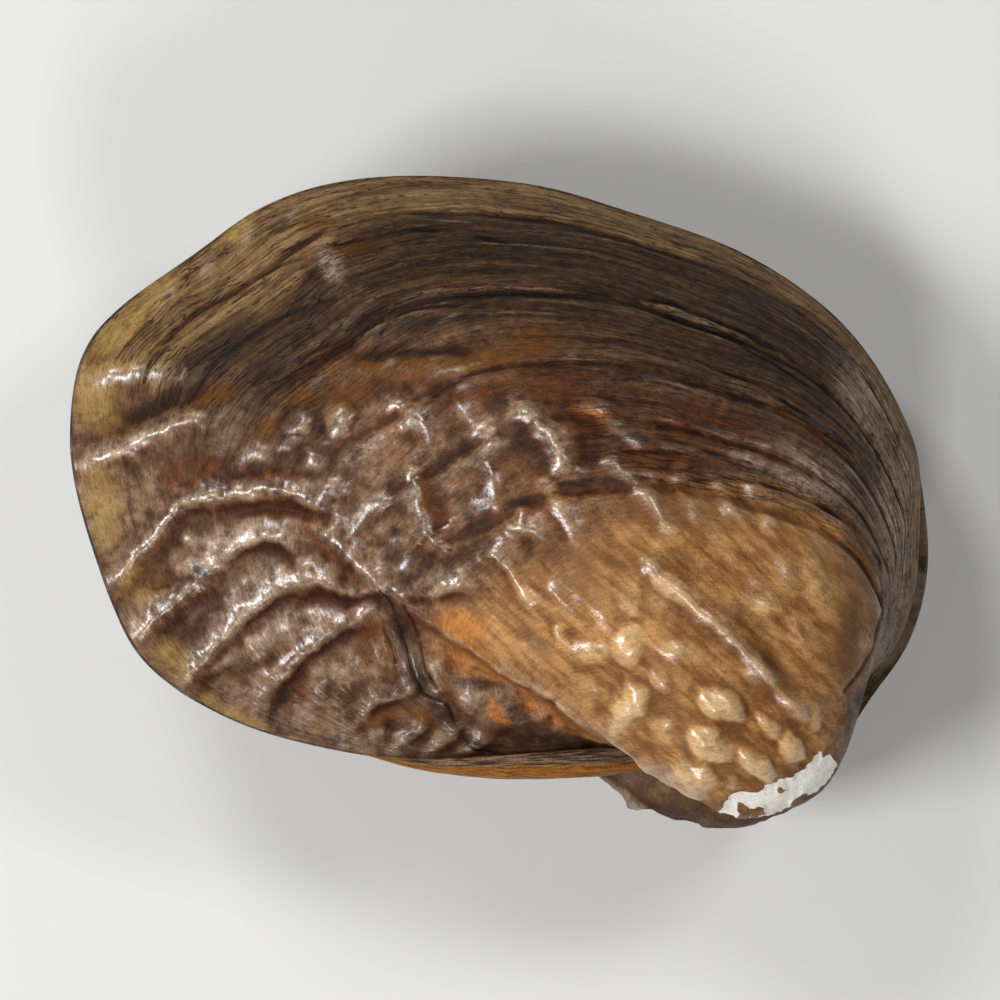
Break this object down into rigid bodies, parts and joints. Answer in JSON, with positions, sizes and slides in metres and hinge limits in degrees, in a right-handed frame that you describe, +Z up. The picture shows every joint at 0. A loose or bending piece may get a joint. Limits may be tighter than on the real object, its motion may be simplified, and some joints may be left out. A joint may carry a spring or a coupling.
{
  "type": "freshwater mussel shell",
  "caption": "Closed freshwater pearl mussel shell lying on its right valve: thick, ridged and knobbed valves that meet along a curved edge, with a horny ligament behind the beaks.",
  "frame": {"origin": "middle of the bounding box's lower face, on the surface that the shell lies on", "axes": "+X towards the front of the shell, where the beaks are, +Y towards the free edge, +Z up, out of the left valve"},
  "size_m": [0.0774, 0.0586, 0.0397],
  "materials": {
    "left_valve": "glossy brown horn skin over shell, worn white at the beak",
    "right_valve": "glossy brown horn skin over shell",
    "ligament": "smooth amber brown horn, satin"
  },
  "bodies": {
    "root": {"left_valve": "left_valve", "right_valve": "right_valve", "ligament": "ligament"}
  },
  "joints": []
}
